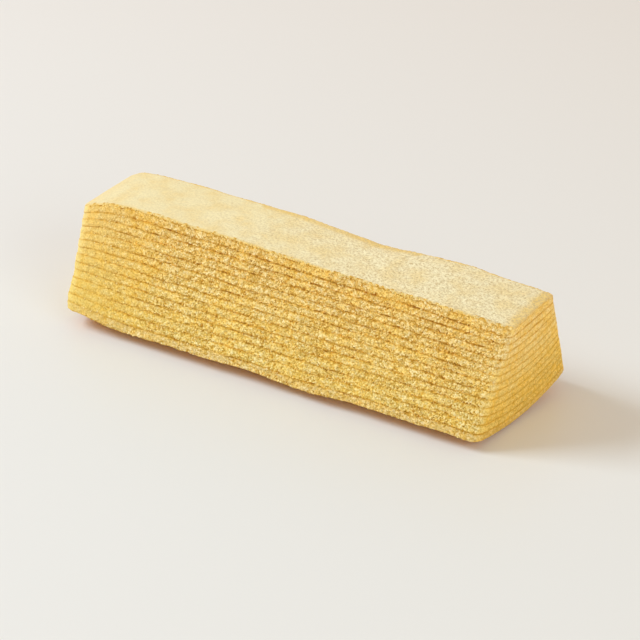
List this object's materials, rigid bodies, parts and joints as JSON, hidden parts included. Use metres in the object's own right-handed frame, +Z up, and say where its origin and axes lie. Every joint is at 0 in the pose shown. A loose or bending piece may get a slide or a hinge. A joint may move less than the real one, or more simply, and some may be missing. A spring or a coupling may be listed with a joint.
{
  "type": "baumkuchen piece",
  "caption": "Long wedge-shaped bar of baumkuchen, a spit-baked ring cake, with thin concentric layers on its cut sides and ends, a pale top and a rounded underside.",
  "frame": {"origin": "on the resting surface, under the middle of the bar's bounding box", "axes": "+X along the bar towards its slimmer end, +Y from the long cut side that is shown to the other one, +Z up through the layers, from the outside of the ring to its hole"},
  "size_m": [0.1504, 0.0504, 0.0403],
  "materials": {
    "pale_top": "matt, finely pitted, pale cream cake skin over golden crumb",
    "golden_crumb": "matt, moist, fine open golden crumb with thin browned lines",
    "outer_crumb": "matt golden crumb with a lightly browned rounded underside"
  },
  "bodies": {
    "root": {"layer_01": "pale_top", "layer_02": "golden_crumb", "layer_03": "golden_crumb", "layer_04": "golden_crumb", "layer_05": "golden_crumb", "layer_06": "golden_crumb", "layer_07": "golden_crumb", "layer_08": "golden_crumb", "layer_09": "golden_crumb", "layer_10": "golden_crumb", "layer_11": "golden_crumb", "layer_12": "golden_crumb", "layer_13": "golden_crumb", "layer_14": "outer_crumb"}
  },
  "joints": []
}
